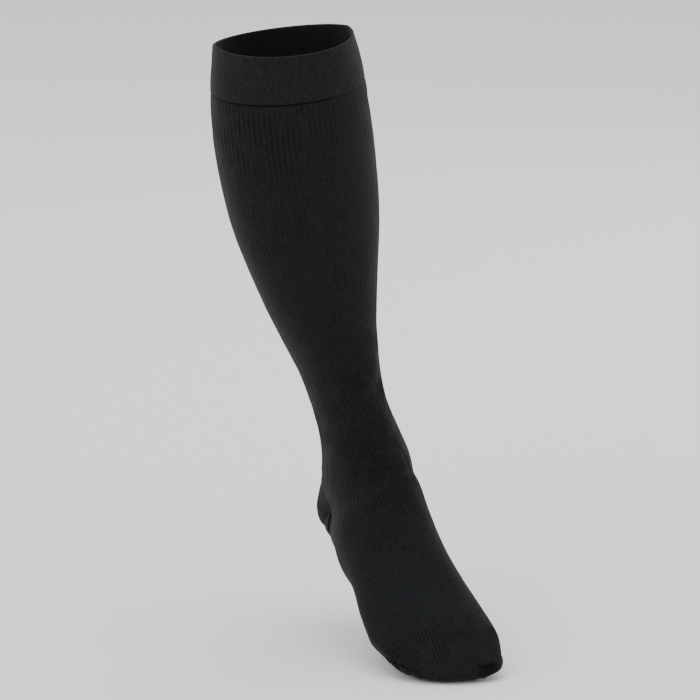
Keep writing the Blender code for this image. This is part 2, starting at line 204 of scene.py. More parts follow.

# ---- creases, placed one by one, in mm
# Each runs from a place to a place, then come its bow, which is how far the middle sags, its width, and the
# depth of its trough, or of a ridge where negative.  A place on the tube is its distance down and its turn: 0
# the front, 90 the inner side, 180 the back or the sole, -90 the outer side.  A turn may run on past 180.
TUBE_CREASES = (
    # across the front of the ankle bend
    (306, 58, 311, -10, 4.0, 3.4, 0.30),
    (317, 34, 322, -38, 3.0, 3.0, 0.34),
    (325, 62, 332, -2, 3.5, 3.4, 0.28),
    (341, 48, 345, 2, 2.0, 2.8, 0.20),
    (296, -22, 303, -66, 2.5, 3.6, 0.38),
    # the soft swelling over the inner ankle
    (300, 84, 318, 78, 0.0, 9.0, -0.90),
    # above the heel pocket
    (283, 152, 288, 202, 3.5, 3.2, 0.60),
    (296, -170, 301, -122, 2.5, 3.0, 0.50),
    (303, 128, 309, 178, 3.0, 3.4, 0.62),
    (316, -136, 319, -188, 2.5, 2.6, 0.46),
    (270, -150, 273, -110, 2.0, 4.0, 0.32),
    (262, 120, 266, 166, 2.5, 4.2, 0.34),
    # round the calf and behind the knee
    (52, -160, 58, -112, 3.0, 5.0, 0.36),
    (66, 166, 70, 118, 3.5, 5.5, 0.34),
    (50, 84, 56, 40, 2.0, 5.0, 0.30),
    (214, 100, 219, 62, 2.0, 5.0, 0.26),
    (190, -96, 197, -58, 2.5, 5.5, 0.24),
    # the arch, and the ball of the foot
    (352, 112, 366, 152, 4.0, 3.8, 0.55),
    (372, 104, 383, 146, 4.0, 4.4, 0.50),
    (398, 108, 402, 138, 2.5, 4.0, 0.36),
    (356, -118, 368, -150, 3.0, 4.0, 0.42),
    (420, -104, 428, -142, 3.0, 4.6, 0.38),
    (447, 120, 452, 160, 3.0, 4.4, 0.40),
    (466, -86, 474, -44, 2.0, 3.6, 0.30),
    (482, 66, 490, 30, 2.0, 3.4, 0.32),
)

BAND_CREASES = (
    (9, -150, 13, -108, 2.0, 3.6, 0.22),
    (24, 168, 27, 122, 2.0, 4.0, 0.24),
    (17, 70, 19, 30, 1.5, 4.2, 0.18),
    (29, -20, 30, -64, 1.2, 3.8, 0.18),
    (12, -28, 14, 12, 1.5, 4.4, 0.16),
    (31, 88, 30, 128, 1.0, 3.4, 0.22),
)

# On a pocket a place is its share of the way round the wedge and its share across, from the inner side.
HEEL_CREASES = (
    (0.08, 0.30, 0.16, 0.62, 0.05, 2.6, 0.50),
    (0.24, 0.55, 0.20, 0.82, 0.04, 2.4, 0.42),
    (0.30, 0.16, 0.24, 0.38, 0.03, 2.4, 0.46),
    (0.72, 0.20, 0.80, 0.46, 0.05, 3.2, 0.44),
    (0.86, 0.52, 0.78, 0.80, 0.04, 3.0, 0.38),
    # the hollows that draw in beside each side point, above and below the gore
    (0.36, 0.01, 0.42, 0.27, 0.02, 3.2, 1.10),
    (0.66, 0.02, 0.73, 0.20, 0.02, 2.6, 0.80),
    (0.40, 1.00, 0.43, 0.77, 0.01, 5.0, 3.00),
    (0.68, 0.98, 0.75, 0.74, 0.02, 3.0, 1.80),
)
TOE_CREASES = (
    # the dimple beside the big toe's tip, and the swelling next to it
    (0.91, 0.20, 0.96, 0.35, 0.01, 4.0, 2.20),
    (0.82, 0.23, 0.84, 0.36, 0.00, 3.8, 1.80),
    (0.86, 0.42, 0.80, 0.58, 0.00, 3.2, -0.80),
    (0.69, 0.30, 0.58, 0.16, 0.02, 3.4, 0.70),
    (0.37, 0.16, 0.31, 0.40, 0.04, 3.0, 0.50),
    # puckers at the little toe's end of the seam
    (0.99, 0.985, 0.60, 0.93, 0.00, 1.7, 2.10),
    (0.99, 0.94, 0.74, 0.84, 0.00, 1.5, 2.30),
    (0.98, 0.88, 0.82, 0.76, 0.00, 1.4, 1.80),
    (0.97, 0.79, 0.80, 0.70, 0.00, 1.6, 1.00),
    (0.44, 0.96, 0.40, 0.82, 0.02, 1.8, 0.70),
    # the uneven lower edge
    (0.73, 0.335, 0.49, 0.33, 0.00, 2.2, 1.30),
    (0.77, 0.77, 0.51, 0.74, 0.00, 2.6, 0.90),
    (0.71, 0.60, 0.58, 0.62, 0.00, 3.0, 0.50),
    (0.22, 0.52, 0.15, 0.78, 0.03, 3.0, 0.36),
)
# Creases, and the fold under the band, darken the colour by a painted shade that deepens with their trough.
FULL_SHADE_DEPTH = 1.8  # a trough as deep as this is as dark as they get
CREASE_STEPS = 12
CREASE_TAPER = 0.7
LIP_SHARE = 0.3  # of the depth
LIP_HEIGHT = 0.16  # and at most so high
LIP_PLACE = 1.7
LIP_WIDTH = 0.8

# ---- gores, seam, band and yarn, in mm

# A gore is the line of turned stitches from a side point into its pocket, half way round the wedge.
GORE_REACH = 0.30  # share of the pocket's width
GORE_ENDS = (0.0, 0.04, 0.9, 1.0)  # shares of its length: it starts, is full, fades, ends
GORE_WIDTH = 0.7
GORE_DEPTH = 0.35
GORE_STITCH = 5.2  # each stitch and its gap
GORE_LOOP = (0.15, 0.6)  # between gap and stitch: from, fully
GORE_THREAD = (0.6, 0.12)  # a stitch's width as a share of the gore's, and how proud it lies
GORE_PALE = 0.06  # how much of the pale yarn shows in it

# The toe seam, where the pocket is linked to the instep.
SEAM_RIDGE = (2.0, 1.4, 0.14)  # distance from the edge, width, height
SEAM_ENDS = (0.0, 0.05, 0.95, 1.0)
SEAM_PROUD = (0.22, 0.05)  # at the little toe's end it is prouder: from this share across, fully from
SEAM_HEIGHTS = (0.35, 1.5)  # share of the height over the toes, and how much more there
SEAM_STITCH = 2.3
SEAM_LOOP = (0.6, 0.4)  # share of the height between stitches, and how much more on them
SEAM_PALE = (0.6, 0.95, 0.4)  # on a stitch the pale yarn shows: from, fully, how much

# The band's base: a narrow fold between band and leg, and a softer fall of the cloth to it.
FOLD_WIDTH = 0.9
FOLD_DEPTH = (0.35, 1.9)  # behind, and at its deepest in front
FOLD_MIDDLE = -30.0  # degrees of turn where it is deepest
FOLD_SPAN = 48.0
FALL_REACH = 5.0
FALL_SHARE = 0.22  # of the fold's depth
BAND_UNDER_SINK = 1.3  # how deep the leg's top edge lies under the band

# The band's section, from its base up and over the rim.  Points at the edges are (height above the base,
# depth from that face of the wall).
BASE_GAP = 0.2
OUTER_EDGE = ((0.0, 0.55), (0.35, 0.2), (1.0, 0.03))
INNER_EDGE = ((0.5, 0.1), (0.0, 0.5))
FACE_ENDS = (2.6, 2.4, 2.0)  # heights above the base outside, below the rim, above the base inside
BAND_ROWS = (24, 9, 16)  # outside, over the rim, inside
BASE_TURN = 2.0  # length of knit round the lower edge
RIM_TRUE = 4.0  # creases fade out so far from the rim
BAND_STEP = 1.0

# The map for baked colours: its margin, how high the inner skin's place reaches, how far up the outer skin's
# place lies from it, and the strip of edge faces between them with the share that each takes of its cell.
BAKE_MARGIN = 0.004
BAKE_REACH = 0.49
BAKE_SHIFT = 0.505
BAKE_STRIP = (0.4975, 0.5025)
BAKE_CELL = 0.8

# Yarn: fuzz, mottling where it lies thicker, and broad shades, each with its size, detail and roughness.
YARN_NOISES = {"fuzz": (0.5, 2.0, 0.6), "mottle": (2.5, 3.0, 0.65), "broad": (40.0, 2.0, 0.5)}
# What each pattern does to the colour's tone: between two values of the pattern, from one tone to another.
YARN_TONES = {
    "mottle": (0.36, 0.64, 0.70, 1.30),
    "broad": (0.3, 0.7, 0.93, 1.07),
    # Painted shade in the troughs of creases and of the fold under the band.
    "hollow": (0.0, 1.0, 1.07, 0.25),
}
# Between loops the colour takes a painted shade, and it is lighter again on the loops.
STITCH_TONE = (0.86, 0.22)  # between loops, and how much more on them
STITCH_HEIGHT = 0.25
FUZZ_HEIGHT = 0.55  # share of a stitch's height
LOOP_LEAN = 1.3  # how far each arm of a loop slants, in courses for each wale across
LINT_CELL = 3.0
LINT_RADIUS = 0.10  # of a cell
LINT_CHOSEN = 0.40  # share of the cells that hold a speck


# ---- the form's functions

def natural_spline(knots, values, at):
    """Smooth curve through values at knots, read at one or more places."""
    knots = np.asarray(knots, float)
    values = np.asarray(values, float)
    count = len(knots)
    gap_shade = np.diff(knots)
    system = np.eye(count)
    right = np.zeros_like(values)
    for i in range(1, count - 1):
        system[i, i - 1:i + 2] = gap_shade[i - 1], 2 * (gap_shade[i - 1] + gap_shade[i]), gap_shade[i]
        after = (values[i + 1] - values[i]) / gap_shade[i]
        before = (values[i] - values[i - 1]) / gap_shade[i - 1]
        right[i] = 6 * (after - before)
    bend = np.linalg.solve(system, right)
    at = np.atleast_1d(at)
    i = np.clip(np.searchsorted(knots, at, side="right") - 1, 0, count - 2)
    gap = gap_shade[i][:, None]
    t = (at - knots[i])[:, None] / gap
    straight = (1 - t) * values[i] + t * values[i + 1]
    curve = ((1 - t) ** 3 - (1 - t)) * bend[i] + (t ** 3 - t) * bend[i + 1]
    return straight + gap ** 2 / 6 * curve


def smooth_step(low, high, value):
    """0 below low, 1 above high, and an even rise between them."""
    t = np.clip((np.asarray(value, float) - low) / (high - low), 0.0, 1.0)
    return t * t * (3 - 2 * t)


def plateau(places, value):
    """1 in the middle and 0 outside: it rises between the first two places and falls between the others."""
    start, full, fading, end = places
    return smooth_step(start, full, value) * (1 - smooth_step(fading, end, value))


def wrapped(turn):
    """The same turn, between -180 and 180 degrees."""
    return (turn + 180.0) % 360.0 - 180.0


def turns_at(halves):
    """Degrees of turn from the front, so many halves of the way round from the inner side over the front."""
    return 90.0 - 180.0 * halves


def noise_at(places, size=1.0):
    """A smooth unevenness from -1 to 1 at each place, in waves of this size."""
    return np.array([noise.noise(Vector(place) / size) for place in places])


def foot_axes():
    """Forward and downward directions of the foot in the stocking's side view, as (y, z)."""
    angle = math.radians(FOOT_ANGLE)
    forward = np.array([-math.sin(angle), -math.cos(angle)])
    downward = np.array([math.cos(angle), -math.sin(angle)])
    return forward, downward


FOOT_FORWARD, FOOT_DOWNWARD = foot_axes()


def foot_point(point):
    """A point of the foot's side view, (distance from the heel, height), as (y, z) of the stocking."""
    ahead = (point[0] - ANKLE_ON_FOOT[0]) * FOOT_FORWARD
    under = (ANKLE_ON_FOOT[1] - point[1]) * FOOT_DOWNWARD
    return np.array([-ANKLE_ON_LEG[0], ANKLE_ON_LEG[1]]) + ahead + under


def leg_point(ring, reach):
    """The point of a leg ring that lies so far behind the axis, as (y, z), or before it if negative."""
    pitch = math.radians(ring["pitch"])
    return np.array([reach * math.cos(pitch), reach * math.sin(pitch) - ring["down"]])


def ring_table():
    """Rows of every ring: down, front y z, side y z, shift, half, roll, lead, crest, top fullness."""
    rows = []
    for ring in LEG:
        front = leg_point(ring, -ring["front"])
        side = (0.0, -ring["down"] - ring["dip"])
        width = (ring["shift"], ring["half"], ring["roll"])
        rows.append((ring["down"], *front, *side, *width, 0.0, 0.0, LEG_FULLNESS))
    for ring in FOOT:
        front = foot_point(ring["top"])
        side = foot_point(ring["side"])
        width = (ring["shift"], ring["half"], 0.0)
        rows.append((ring["down"], *front, *side, *width, ring["lead"], ring["crest"], ring["top_fullness"]))
    return np.array(rows)


def lay_edge(rows, edge, along, before):
    """Add a pocket's middle line to the back line, by its length, and return how far it then reaches."""
    for distance, height, fullness, spread in edge:
        here = foot_point((distance, height))
        along += np.linalg.norm(here - before)
        rows.append((along, *here, fullness, spread))
        before = here
    return along


def back_table():
    """The back and sole line: rows of distance along, y, z, fullness and spread, and the pockets' ends."""
    rows = [(ring["down"], *leg_point(ring, ring["back"]), LEG_FULLNESS, 0.0) for ring in LEG]
    first = FOOT[0]
    last = FOOT[-1]
    heel_start = first["down"]
    heel_edge = HEEL_EDGE + ((*first["sole"], first["sole_fullness"], first["spread"]),)
    heel_end = lay_edge(rows, heel_edge, heel_start, foot_point(HEEL_EDGE[0][:2]))
    for ring in FOOT[1:]:
        along = heel_end + ring["down"] - heel_start
        rows.append((along, *foot_point(ring["sole"]), ring["sole_fullness"], ring["spread"]))
    toe_edge = TOE_EDGE + ((*last["top"], last["top_fullness"], 0.0),)
    toe_end = lay_edge(rows, toe_edge, along, foot_point(last["sole"]))
    return np.array(rows), heel_start, heel_end, along, toe_end


LEG = [dict(zip(LEG_COLUMNS, values)) for values in LEG_RINGS]
FOOT = [dict(zip(FOOT_COLUMNS, values)) for values in FOOT_RINGS]
RINGS = ring_table()
BACK_LINE, HEEL_START, HEEL_END, TOE_START, TOE_END = back_table()
ANKLE_DOWN = FOOT[0]["down"]
TOE_DOWN = FOOT[-1]["down"]


def ring_values(downs):
    """Named values of the rings at these distances down the stocking, one row for each."""
    values = natural_spline(RINGS[:, 0], RINGS[:, 1:], downs)
    return {
        "front": values[:, 0:2], "side": values[:, 2:4], "shift": values[:, 4], "half": values[:, 5],
        "roll": values[:, 6], "lead": values[:, 7], "crest": values[:, 8], "top_fullness": values[:, 9],
    }


def across(downs):
    """Unit vectors across the rings, towards the inner side, square to the run of the side points."""
    downs = np.atleast_1d(downs)
    before = ring_values(np.maximum(downs - RUN_STEP, RINGS[0, 0]))
    after = ring_values(np.minimum(downs + RUN_STEP, RINGS[-1, 0]))
    run = after["side"] - before["side"]
    length = np.linalg.norm(run, axis=1)
    slope = (after["shift"] - before["shift"]) / length
    tilt = run * (slope / length)[:, None]
    roll = np.radians(ring_values(downs)["roll"])
    direction = np.stack([np.cos(roll), -tilt[:, 0], -tilt[:, 1] - np.sin(roll)], axis=1)
    return direction / np.linalg.norm(direction, axis=1)[:, None]


def half_rings(rings, width, ends, fullness, spread, crest):
    """Curves from the inner side point, over each end point, to the outer side point."""
    angle = np.linspace(0.0, math.pi, ARC_STEPS + 1)
    power = 2 / fullness[:, None]
    reach = np.clip(np.sin(angle), 0.0, 1.0) ** power
    sideways = np.sign(np.cos(angle)) * np.abs(np.cos(angle)) ** power
    wide = sideways * (rings["half"][:, None] + spread[:, None] * 4 * reach * (1 - reach))
    curves = wide[:, :, None] * width[:, None, :]
    curves[:, :, 0] += rings["shift"][:, None] + crest[:, None] * reach ** 2
    curves[:, :, 1:] += rings["side"][:, None, :]
    curves[:, :, 1:] += reach[:, :, None] * (ends - rings["side"])[:, None, :]
    curves[:, :, 1:] += (sideways * rings["lead"][:, None])[:, :, None] * FOOT_FORWARD
    return curves


def step_lengths(points):
    """How far each point of a line, or of each row of a sheet, is from the one before it."""
    return np.linalg.norm(np.diff(points, axis=-2), axis=-1)


def along_curves(curves, shares):
    """Points at the given shares of each curve's length, so that ribs and stitches are evenly spaced."""
    lengths = np.pad(np.cumsum(step_lengths(curves), axis=1), ((0, 0), (1, 0)))
    shares = np.broadcast_to(shares, (len(curves), np.shape(shares)[-1]))
    rows = np.empty((*shares.shape, 3))
    for row, share, curve, length in zip(rows, shares, curves, lengths):
        for axis in range(3):
            row[:, axis] = np.interp(share * length[-1], length, curve[:, axis])
    return rows


def flow_shares(downs, shares):
    """Where the ribs at these shares of the front lie at each distance down, as shares of its width."""
    flow = natural_spline(np.array(RIB_FLOW)[:, 0], np.array(RIB_FLOW)[:, 1:], downs)
    draw, shift = flow[:, :1], flow[:, 1:]
    off = np.asarray(shares) - 0.5
    return 0.5 + off * draw + 4 * (1 - draw) * off ** 3 - shift * (1 - 4 * off ** 2)


def front_curves(downs):
    """Fine curves over the front of the leg and the top of the foot, one at each distance down."""
    rings = ring_values(downs)
    plain = np.zeros(len(downs))
    return half_rings(rings, across(downs), rings["front"], rings["top_fullness"], plain, rings["crest"])


def front_half(downs, shares):
    """The front of the leg and the top of the foot, from the inner side to the outer."""
    return along_curves(front_curves(downs), shares)


def relaxed_flow():
    """Where the ribs lie over the ankle bend, as distances down and shares of the width, a row for each."""
    downs = np.linspace(*RELAX_DOWNS, RELAX_ROWS)
    flow = flow_shares(downs, RIB_EDGES)
    curves = front_curves(downs)
    lengths = step_lengths(curves).sum(axis=1)
    for _ in range(RELAX_STEPS):
        points = along_curves(curves, flow)
        straighter = (points[:-2] + points[2:]) / 2 - points[1:-1]
        run = points[1:-1, 2:] - points[1:-1, :-2]
        run /= np.linalg.norm(run, axis=2)[:, :, None]
        along = (straighter[:, 1:-1] * run).sum(axis=2) / lengths[1:-1, None]
        evener = (flow[1:-1, :-2] + flow[1:-1, 2:]) / 2 - flow[1:-1, 1:-1]
        flow[1:-1, 1:-1] += RELAX_STEP * along + RELAX_EVENNESS * evener
    return downs, flow


def laid_shares(downs, shares):
    """Where the ribs and the points between them lie on rows at these distances down."""
    laid = flow_shares(downs, shares)
    rows, flow = relaxed_flow()
    moved = flow - flow_shares(rows, RIB_EDGES)
    inside = (downs > rows[0]) & (downs < rows[-1])
    by_down = natural_spline(rows, moved, downs[inside])
    laid[inside] += np.array([np.interp(shares, RIB_EDGES, row) for row in by_down])
    return laid


def back_half(downs, alongs, shares, crest=0.0):
    """The back of the leg, the sole, or a pocket, from the outer side to the inner."""
    back = natural_spline(BACK_LINE[:, 0], BACK_LINE[:, 1:], alongs)
    crest = np.broadcast_to(crest, len(downs))
    curves = half_rings(ring_values(downs), across(downs), back[:, 0:2], back[:, 2], back[:, 3], crest)
    return along_curves(curves[:, ::-1], shares)


def heel_rows(alongs, shares):
    """Half rings of the heel pocket, which all end at the side points of the ankle ring."""
    return back_half(np.full(len(alongs), float(ANKLE_DOWN)), alongs, shares)


def toe_rows(alongs, shares):
    """Half rings of the toe pocket.  Their middle moves to the instep's crest as the wedge turns."""
    downs = np.full(len(alongs), float(TOE_DOWN))
    turned = np.clip((alongs - TOE_START) / (TOE_END - TOE_START), 0.0, 1.0)
    return back_half(downs, alongs, shares, turned * ring_values(downs)["crest"])


def tube_point(down, turn):
    """The point of the form at a distance down and a turn from the front."""
    turn = wrapped(turn)
    downs = np.array([float(down)])
    if abs(turn) <= 90.0:
        return front_half(downs, [(90.0 - turn) / 180.0])[0, 0]
    share = (-turn - 90.0) / 180.0 if turn < 0 else 1.0 - (turn - 90.0) / 180.0
    alongs = downs if down <= ANKLE_DOWN else downs + HEEL_END - HEEL_START
    return back_half(downs, alongs, [share])[0, 0]


def to_world(points):
    """From the stocking's own frame in mm to world metres: the leg's turn, then its lean."""
    turn = math.radians(LEG_TURN)
    lean = math.radians(-LEG_LEAN)
    x = points[:, 0] * math.cos(turn) - points[:, 1] * math.sin(turn)
    y = points[:, 0] * math.sin(turn) + points[:, 1] * math.cos(turn)
    z = points[:, 2]
    tilted_x = x * math.cos(lean) + z * math.sin(lean)
    tilted_z = z * math.cos(lean) - x * math.sin(lean)
    return np.stack([tilted_x, y, tilted_z], axis=1) * MM


# ---- cloth on the form

class Cloth:
    """One skin of cloth, joined from patches of rows and columns that share their edges' points.

    Each corner of a face has its place in the knit, as (ribs across, mm down).
    """

    def __init__(self):
        self.points = np.empty((0, 3))
        self.faces = np.empty((0, 4), int)
        self.knit = np.empty((0, 4, 2))

    def add_points(self, points):
        """Number new points, in the shape of their rows and columns."""
        shape = points.shape[:-1]
        first = len(self.points)
        self.points = np.concatenate([self.points, points.reshape(-1, 3)])
        return np.arange(first, len(self.points)).reshape(shape)

    def add_back(self, points, front):
        """Number the points of a back half, which shares its side points with a front half."""
        inside = self.add_points(points[:, 1:-1])
        return np.concatenate([front[:, -1:], inside, front[:, :1]], axis=1)

    def add_patch(self, ids, ribs, downs):
        """Faces over rows of point numbers, with each column's ribs and each row's distance down."""
        corners = ((0, 0), (0, 1), (1, 1), (1, 0))
        height, width = ids.shape[0] - 1, ids.shape[1] - 1
        knit = np.stack(np.broadcast_arrays(ribs, downs[:, None]), axis=2)
        faces = [ids[r:r + height, c:c + width].reshape(-1) for r, c in corners]
        places = [knit[r:r + height, c:c + width].reshape(-1, 2) for r, c in corners]
        self.faces = np.concatenate([self.faces, np.stack(faces, axis=1)])
        self.knit = np.concatenate([self.knit, np.stack(places, axis=1)])

    def normals(self):
        """Outward directions at the points, from the faces round each."""
        a, b, c, d = (self.points[self.faces[:, i]] for i in range(4))
        square = np.cross(c - a, d - b)
        total = np.zeros_like(self.points)
        for i in range(4):
            np.add.at(total, self.faces[:, i], square)
        return total / np.linalg.norm(total, axis=1)[:, None]

    def open_edges(self):
        """Pairs of points along the skin's edges, in the direction of their own face."""
        following = np.roll(self.faces, -1, axis=1)
        pairs = np.stack([self.faces.reshape(-1), following.reshape(-1)], axis=1)
        places = np.stack([self.knit.reshape(-1, 2), np.roll(self.knit, -1, axis=1).reshape(-1, 2)], axis=1)
        real = pairs[:, 0] != pairs[:, 1]
        pairs, places = pairs[real], places[real]
        count = len(self.points)
        missing = ~np.isin(pairs[:, 0] * count + pairs[:, 1], pairs[:, 1] * count + pairs[:, 0])
        return pairs[missing], places[missing]

    def unit_places(self):
        """Each corner's place in the knit, as shares of the whole width and length."""
        places = self.knit.reshape(-1, 2)
        low = places.min(axis=0)
        high = places.max(axis=0)
        return (self.knit - low) / (high - low)


def crease_line(start, end, bow, point_at):
    """Points along one crease, which sags by its bow."""
    line = []
    for t in np.linspace(0.0, 1.0, CREASE_STEPS + 1):
        place = start + (end - start) * t
        line.append(point_at(place[0] + bow * 4 * t * (1 - t), place[1]))
    return np.array(line)


def nearest_on_line(points, line):
    """How far each point is from a line of points, and how far along the line that is, from 0 to 1."""
    distance = np.full(len(points), np.inf)
    along = np.zeros(len(points))
    for i, (start, end) in enumerate(zip(line, line[1:])):
        run = end - start
        t = np.clip((points - start) @ run / (run @ run), 0.0, 1.0)
        here = np.linalg.norm(points - start - t[:, None] * run, axis=1)
        closer = here < distance
        distance[closer] = here[closer]
        along[closer] = (i + t[closer]) / (len(line) - 1)
    return distance, along


def crease_move(points, creases, point_at):
    """How far the creases move each point outwards: soft troughs between low lips, tapered at both ends."""
    move = np.zeros(len(points))
    for *ends, bow, width, depth in creases:
        start, end = np.reshape(ends, (2, 2))
        distance, along = nearest_on_line(points, crease_line(start, end, bow, point_at))
        taper = np.clip(np.sin(math.pi * along), 0.0, 1.0) ** CREASE_TAPER
        trough = np.exp(-(distance / width) ** 2)
        lips = min(LIP_SHARE, LIP_HEIGHT / abs(depth))
        lips *= np.exp(-((distance - LIP_PLACE * width) / (LIP_WIDTH * width)) ** 2)
        move += depth * taper * (lips - trough)
    return move


def wave_move(points):
    """A slight unevenness, so that no stretch of the cloth is quite true."""
    return sum(height * noise_at(points, size) for size, height in WAVES)


def bake_places(unit, count):
    """A second map, which unrolls the outer skin, the inner skin and the edges into places of their own."""
    inner = BAKE_MARGIN + unit * np.array([1 - 2 * BAKE_MARGIN, BAKE_REACH - BAKE_MARGIN])
    outer = inner + np.array([0.0, BAKE_SHIFT])
    left = BAKE_MARGIN + np.arange(count) / count * (1 - 2 * BAKE_MARGIN)
    right = left + BAKE_CELL / count
    low, high = (np.full(count, row) for row in BAKE_STRIP)
    corners = ((right, high), (left, high), (left, low), (right, low))
    rim = np.stack([np.stack(corner, axis=1) for corner in corners], axis=1)
    return outer, inner, rim


def make_piece(name, points, faces, maps, marks, material):
    """A mesh object in its place, with maps of the faces' corners and marks on the points."""
    kept = faces != np.roll(faces, -1, axis=1)  # a pole's faces have a corner less
    sizes = kept.sum(axis=1)
    corners = faces[kept].tolist()
    ends = np.cumsum(sizes)
    loops = [corners[start:end] for start, end in zip(ends - sizes, ends)]
    mesh = bpy.data.meshes.new(name)
    mesh.from_pydata(to_world(points).tolist(), [], loops)
    for map_name, places in maps.items():
        layer = mesh.uv_layers.new(name=map_name)
        layer.uv.foreach_set("vector", places[kept].astype(np.float32).reshape(-1))
    mesh.uv_layers.active = mesh.uv_layers["knit"]
    for mark_name, values in marks.items():
        mark = mesh.attributes.new(mark_name, "FLOAT", "POINT")
        mark.data.foreach_set("value", values.astype(np.float32))
    mesh.shade_smooth()
    mesh.materials.append(material)
    piece = bpy.data.objects.new(name, mesh)
    bpy.context.scene.collection.objects.link(piece)
    return piece


def make_shell(name, cloth, outer, inner, marks, material):
    """A closed thin shell between an outer and an inner skin."""
    pairs, pair_places = cloth.open_edges()
    count = len(cloth.points)
    rim = np.concatenate([pairs[:, ::-1], pairs + count], axis=1)
    faces = np.concatenate([cloth.faces, cloth.faces[:, ::-1] + count, rim])
    knit = np.concatenate([cloth.knit, cloth.knit[:, ::-1], pair_places[:, [1, 0, 0, 1]]])
    bake_outer, bake_inner, bake_rim = bake_places(cloth.unit_places(), len(pairs))
    bake = np.concatenate([bake_outer, bake_inner[:, ::-1], bake_rim])
    points = np.concatenate([outer, inner])
    marks = {mark: np.concatenate([values, values]) for mark, values in marks.items()}
    return make_piece(name, points, faces, {"knit": knit, "OFBake": bake}, marks, material)


# ---- the pieces

def rib_shares():
    """Shares across half the stocking where a rib has its points, from groove to groove."""
    ribs = np.arange(RIBS_HALF)[:, None] + np.array(RIB_PHASES)
    return np.append(ribs.reshape(-1), RIBS_HALF) / RIBS_HALF


def rib_move(ribs, downs, strength):
    """How far the ribs move points outwards, and how much of the painted groove shade they take."""
    depth = np.interp(downs, *np.array(RIB_DEPTH).T) * strength
    across_rib = np.abs(np.sin(math.pi * ribs)) ** RIB_ROUNDNESS
    return depth * (across_rib - RIB_SINK), np.clip(depth / FULL_RIB, 0.0, 1.0)


def rib_patches(points, downs, ribs):
    """How much of their depth the ribs keep at each point."""
    keep = np.ones(len(points))
    turns = turns_at(ribs / RIBS_HALF)
    for down, turn, down_reach, turn_reach, share in RIB_FLATS:
        near = ((downs - down) / down_reach) ** 2 + (wrapped(turns - turn) / turn_reach) ** 2
        keep *= 1 - share * np.exp(-near)
    sinking, sunk, share = INSTEP_FLAT
    rise_from, per_turn, middle, rise = TOE_RIBS
    rise_from += per_turn * (turns - middle)
    on_foot = smooth_step(ANKLE_DOWN + sinking, ANKLE_DOWN + sunk, downs)
    keep *= 1 - share * on_foot * (1 - smooth_step(rise_from, rise_from + rise, downs))
    size, change = RIB_PATCHES
    patches = change * noise_at(points, size)
    length, width, change = RIB_STREAKS
    streaks = change * noise_at(np.stack([np.floor(ribs) / width, downs / length, 0 * ribs], axis=1))
    return keep * np.clip(1 + patches + streaks, *RIB_LIMITS)


def fold_depth(turns):
    """How deep the fold under the band is, most in front."""
    least, most = FOLD_DEPTH
    return least + (most - least) * np.exp(-(wrapped(turns - FOLD_MIDDLE) / FOLD_SPAN) ** 4)


def soften_bend(rows, downs, shares):
    """Round the bend of the ankle off along the ribs, but not at its ends, where the heel pocket joins on."""
    weight = BEND_STEP * plateau(BEND_DOWNS, downs)[:, None] * plateau(BEND_SHARES, shares)
    for _ in range(BEND_STEPS):
        rows[1:-1] += weight[1:-1, :, None] * ((rows[:-2] + rows[2:]) / 2 - rows[1:-1])
    return rows


